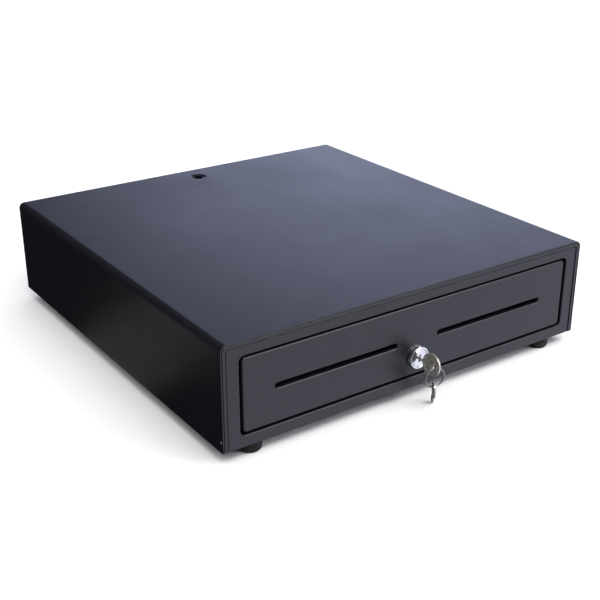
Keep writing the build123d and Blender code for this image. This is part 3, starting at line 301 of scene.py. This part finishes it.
MATERIALS = {
    "black_paint": powder_coat(),
    "zinc_steel": zinc_plate(),
    "chrome": chrome(),
    "nickel": nickel(),
    "spring_steel": spring_steel(),
    "black_abs": moulded(
        "black_abs", (0.016, 0.016, 0.018), (0.026, 0.026, 0.028), 0.44, ABS_GRAIN
    ),
    "grey_abs": moulded(
        "grey_abs", (0.060, 0.060, 0.064), (0.085, 0.085, 0.089), 0.46, ABS_GRAIN
    ),
    "white_nylon": moulded(
        "white_nylon", (0.70, 0.68, 0.62), (0.78, 0.77, 0.72), 0.40, NYLON_GRAIN, pitch=700.0
    ),
    "rubber": rubber(),
    "coil_tape": coil_tape(),
}


def paint_cad_nodes():
    slots = {part["node"]: part["material_slot"] for part in frame["record"]["subparts"]}
    for name, node in frame["nodes"].items():
        material = MATERIALS[slots[name]]
        if not node.data.materials:
            node.data.materials.append(material)
        for slot in node.material_slots:
            slot.material = material


# ---------------------------------------------------------------- wound pieces
def wound(name, splines, wire_radius, body, slot_name, replaced):
    """Round wire along one or more lists of points, as one piece."""
    curve = bpy.data.curves.new(name, "CURVE")
    curve.dimensions = "3D"
    curve.bevel_depth = wire_radius
    curve.bevel_resolution = 3
    curve.use_fill_caps = True
    for points in splines:
        spline = curve.splines.new("NURBS")
        spline.points.add(len(points) - 1)
        for point, place in zip(spline.points, points):
            point.co = (*place, 1.0)
        spline.order_u = 3
        spline.use_endpoint_u = True
        spline.resolution_u = 3
    piece = bpy.data.objects.new(name, curve)
    bpy.context.scene.collection.objects.link(piece)
    curve.materials.append(MATERIALS[slot_name])
    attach(piece, body)
    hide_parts(replaced)


POINTS_PER_TURN = 12


def helix(centre, axis, radius, length, turns, start=0.0):
    """Points of a helix about an axis, from one end of its length to the other."""
    direction = Vector(axis).normalized()
    # about X the angle is counted from +Y, which the legs of the clip coils rely on
    side = Vector((0, 1, 0)) if direction.x else direction.orthogonal().normalized()
    up = direction.cross(side)
    steps = int(turns * POINTS_PER_TURN)
    points = []
    for n in range(steps + 1):
        angle = start + 2 * math.pi * turns * n / steps
        along = length * (n / steps - 0.5)
        outward = side * math.cos(angle) + up * math.sin(angle)
        points.append(Vector(centre) + direction * along + radius * outward)
    return points


def middle_of(node):
    """The middle and the size of a CAD node's box."""
    low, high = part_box(node)
    return (low + high) / 2, high - low


CLIP_COUNT = 5
CLIP_WIRE_RADIUS = 0.45 * MM
CLIP_COIL_PLAY = 0.25 * MM  # between the rod and the inside of the coil
CLIP_COIL_OFFSET = 6.0 * MM  # from the clip's middle to each coil's
CLIP_COIL_LENGTH = 6.4 * MM
CLIP_COIL_TURNS = 6.25
CLIP_REAR_LEG = Vector((0, 5.6 * MM, 1.0 * MM))
CLIP_ARM_LEG = Vector((0, -7.0 * MM, -3.0 * MM))


def clip_spring_coils():
    """Two torsion coils under each bill clip, with legs to the arm and to the tray's rear wall."""
    rod_middle, rod_size = middle_of("clip_rod")
    radius = rod_size.z / 2 + CLIP_WIRE_RADIUS + CLIP_COIL_PLAY
    splines = []
    for n in range(1, CLIP_COUNT + 1):
        clip_middle = middle_of(f"bill_clip_{n}")[0]
        for side in (-1, 1):
            centre = Vector((clip_middle.x + side * CLIP_COIL_OFFSET, rod_middle.y, rod_middle.z))
            coil = helix(
                centre, (side, 0, 0), radius, CLIP_COIL_LENGTH, CLIP_COIL_TURNS, start=math.pi / 2
            )
            rear, arm = coil[0] + CLIP_REAR_LEG, coil[-1] + CLIP_ARM_LEG
            splines.append([rear, (rear + coil[0]) / 2] + coil + [(arm + coil[-1]) / 2, arm])
    wound(
        "clip_spring_coils", splines, CLIP_WIRE_RADIUS, "drawer", "spring_steel", "clip_springs"
    )


KICKER_WIRE_RADIUS = 0.55 * MM
KICKER_TURNS = 11.0


def kicker_spring_coil():
    middle, size = middle_of("kicker_spring")
    wire = KICKER_WIRE_RADIUS
    coil = helix(middle, (0, 1, 0), size.x / 2 - wire, size.y - 2 * wire, KICKER_TURNS)
    wound("kicker_spring_coil", [coil], wire, "housing", "spring_steel", "kicker_spring")


LATCH_WIRE_RADIUS = 0.5 * MM
LATCH_TURNS = 3.4
LATCH_LEG = Vector((0, 5.0 * MM, 0))


def latch_spring_coil():
    middle, size = middle_of("latch_spring")
    wire = LATCH_WIRE_RADIUS
    coil = helix(middle, (0, 0, 1), size.x / 2 - wire, size.z - 2 * wire, LATCH_TURNS)
    points = [coil[0] + LATCH_LEG] + coil
    wound("latch_spring_coil", [points], wire, "housing", "spring_steel", "latch_spring")


LATHE_SIDES = 64


def lathe(name, profile, centre):
    """A closed ring of (along x, radius) points turned about the X axis."""
    vertices, faces = [], []
    for step in range(LATHE_SIDES):
        angle = 2 * math.pi * step / LATHE_SIDES
        for along, radius in profile:
            y, z = radius * math.cos(angle), radius * math.sin(angle)
            vertices.append((centre.x + along, centre.y + y, centre.z + z))
    count = len(profile)
    for step in range(LATHE_SIDES):
        here, there = step * count, (step + 1) % LATHE_SIDES * count
        for n in range(count):
            m = (n + 1) % count
            faces.append((here + n, here + m, there + m, there + n))
    mesh = bpy.data.meshes.new(name)
    mesh.from_pydata(vertices, [], faces)
    mesh.validate()
    mesh.shade_smooth()
    piece = bpy.data.objects.new(name, mesh)
    bpy.context.scene.collection.objects.link(piece)
    return piece


BOBBIN_BORE_RADIUS = 3.7 * MM
BOBBIN_FLANGE = 1.5 * MM
BOBBIN_CHAMFER = 0.3 * MM
WINDING_SUNK = 1.6 * MM  # from the flanges' rim to the foot of the turns
TURN_RADIUS = 0.45 * MM
TURN_HALF_WIDTH = 0.62  # share of the radius, so that a groove stays between turns
TURN_RISE = 0.5  # share of the radius


def solenoid_winding():
    """A bobbin with two flanges and a winding of ridged turns under tape."""
    middle, size = middle_of("solenoid_coil")
    half, outer = size.x / 2, size.z / 2
    inner, rim = half - BOBBIN_FLANGE, outer - BOBBIN_CHAMFER
    left = [
        (-half, BOBBIN_BORE_RADIUS),
        (-half, rim),
        (-half + BOBBIN_CHAMFER, outer),
        (-inner - BOBBIN_CHAMFER, outer),
        (-inner, rim),
    ]
    rows = int((size.x - 2 * BOBBIN_FLANGE) / (2 * TURN_RADIUS))
    turns = []
    for row in range(rows):
        at = -inner + (row + 0.5) * (size.x - 2 * BOBBIN_FLANGE) / rows
        for step in (-1, 0, 1):
            rise = TURN_RADIUS * (1 - abs(step)) * TURN_RISE
            turns.append((at + step * TURN_RADIUS * TURN_HALF_WIDTH, outer - WINDING_SUNK + rise))
    right = [(-along, radius) for along, radius in reversed(left)]
    piece = lathe("solenoid_winding", left + turns + right, middle)
    piece.data.materials.append(MATERIALS["coil_tape"])
    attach(piece, "housing")
    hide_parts("solenoid_coil")


# ---------------------------------------------------------------- stage, light, camera
FLOOR_RADIUS = 2.6


def floor():
    bpy.ops.mesh.primitive_circle_add(vertices=96, radius=FLOOR_RADIUS, fill_type="NGON")
    ground = bpy.context.object
    ground.name = "floor"
    look = Look("pale_floor", (0.88, 0.88, 0.885), 0.9, specular=0.1)
    ground.data.materials.append(look.material)
    ground.visible_glossy = False


def panel_light(name, place, target, size, watts, mirrored=True):
    """A rectangular light that the camera doesn't see, and reflections only if mirrored."""
    light = bpy.data.lights.new(name, "AREA")
    light.shape = "RECTANGLE"
    light.size, light.size_y = size
    light.energy = watts
    lamp = bpy.data.objects.new(name, light)
    bpy.context.scene.collection.objects.link(lamp)
    lamp.location = place
    lamp.rotation_euler = (Vector(target) - Vector(place)).to_track_quat("-Z", "Y").to_euler()
    lamp.visible_glossy = mirrored
    lamp.visible_camera = False


# For each bank of light in the room: the direction it comes from, the cosines to that direction
# where it starts and where it is full, and its colour.
WORLD_PATCHES = [
    ((0.0, 0.0, 1.0), -1.0, 1.0, (0.05, 0.05, 0.06)),
    ((0.66, 0.75, 0.0), 0.87, 1.0, (1.62, 1.79, 2.55)),
    ((0.60, -0.72, -0.30), 0.30, 1.0, (1.00, 1.02, 1.20)),
    ((-0.75, -0.30, -0.60), 0.55, 1.0, (0.08, 0.08, 0.09)),
]
BACKDROP = (1.0, 1.0, 1.0, 1.0)


def studio_world():
    """A white room to the camera, and to everything else the sum of the banks of light."""
    world = bpy.data.worlds.new("studio")
    bpy.context.scene.world = world
    world.use_nodes = True
    tree = world.node_tree
    nodes, links = tree.nodes, tree.links
    nodes.clear()
    direction = nodes.new("ShaderNodeTexCoord").outputs["Generated"]

    def facing(towards, start, full):
        """0 away from a direction and 1 along it, with a smooth step between two cosines."""
        dot = nodes.new("ShaderNodeVectorMath")
        dot.operation = "DOT_PRODUCT"
        links.new(direction, dot.inputs[0])
        dot.inputs[1].default_value = Vector(towards).normalized()
        smooth = nodes.new("ShaderNodeMapRange")
        smooth.interpolation_type = "SMOOTHSTEP"
        smooth.inputs["From Min"].default_value = start
        smooth.inputs["From Max"].default_value = full
        links.new(dot.outputs["Value"], smooth.inputs["Value"])
        return smooth.outputs["Result"]

    total = None
    for towards, start, full, color in WORLD_PATCHES:
        patch = nodes.new("ShaderNodeVectorMath")
        patch.operation = "SCALE"
        patch.inputs[0].default_value = color
        links.new(facing(towards, start, full), patch.inputs["Scale"])
        if total is None:
            total = patch.outputs["Vector"]
        else:
            add = nodes.new("ShaderNodeVectorMath")
            links.new(total, add.inputs[0])
            links.new(patch.outputs["Vector"], add.inputs[1])
            total = add.outputs["Vector"]
    studio = nodes.new("ShaderNodeBackground")
    links.new(total, studio.inputs["Color"])
    plain = nodes.new("ShaderNodeBackground")
    plain.inputs["Color"].default_value = BACKDROP
    seen = nodes.new("ShaderNodeLightPath").outputs["Is Camera Ray"]
    mix = nodes.new("ShaderNodeMixShader")
    links.new(seen, mix.inputs["Fac"])
    links.new(studio.outputs["Background"], mix.inputs[1])
    links.new(plain.outputs["Background"], mix.inputs[2])
    out = nodes.new("ShaderNodeOutputWorld")
    links.new(mix.outputs["Shader"], out.inputs["Surface"])


BOUNCE_GAP = 0.13  # from the left side
BOUNCE_Y, BOUNCE_HEIGHT = 0.09, 0.003
BOUNCE_AIM = Vector((0.4, 0, 1))


def lights():
    low, high = CAD_BOUNDS
    top = Vector((0.0, 0.0, high[2]))
    panel_light(
        "wide_overhead", place=(0.0, 1.2, 4.0), target=top + Vector((0, 1.2, 0)),
        size=(9.0, 9.0), watts=420.0, mirrored=False,
    )
    for name, place, size, watts in (
        ("front_overhead", (-0.3, -1.6, 2.2), (1.4, 0.9), 26.0),
        ("front_right", (1.3, -2.2, 1.5), (1.2, 1.0), 26.0),
        ("edge_strip", (1.25, -1.15, 1.75), (1.5, 0.35), 10.0),
    ):
        panel_light(name, place, top, size, watts)
    # light that a pale floor would send up the left side
    beside = Vector((low[0] - BOUNCE_GAP, BOUNCE_Y, BOUNCE_HEIGHT))
    panel_light(
        "floor_bounce", place=beside, target=beside + BOUNCE_AIM,
        size=(0.16, 0.26), watts=0.020,
    )


CAMERA_AZIMUTH = -35.41
CAMERA_ELEVATION = 24.25
CAMERA_ROLL = 0.25
CAMERA_DISTANCE = 1.1489
CAMERA_TARGET = Vector((0.0336, 0.0109, 0.0092))
CAMERA_LENS = 64.0
CAMERA_SHIFT = (-0.0266, 0.0063)
CAMERA_CLIP_START = 0.01


def camera():
    """The photo's camera, fitted to the straight edges of the body. Angles in degrees."""
    data = bpy.data.cameras.new("camera")
    data.lens = CAMERA_LENS
    data.shift_x, data.shift_y = CAMERA_SHIFT
    data.clip_start = CAMERA_CLIP_START
    eye = bpy.data.objects.new("camera", data)
    bpy.context.scene.collection.objects.link(eye)
    azimuth, elevation = math.radians(CAMERA_AZIMUTH), math.radians(CAMERA_ELEVATION)
    level = math.cos(elevation)
    away = Vector((math.sin(azimuth) * level, -math.cos(azimuth) * level, math.sin(elevation)))
    eye.location = CAMERA_TARGET + away * CAMERA_DISTANCE
    upright = (-away).to_track_quat("-Z", "Y").to_matrix()
    roll = Matrix.Rotation(math.radians(CAMERA_ROLL), 3, "Z")
    eye.rotation_euler = (upright @ roll).to_euler()
    bpy.context.scene.camera = eye


paint_cad_nodes()
clip_spring_coils()
kicker_spring_coil()
latch_spring_coil()
solenoid_winding()
floor()
studio_world()
lights()
camera()
bpy.context.scene.view_settings.view_transform = "Standard"
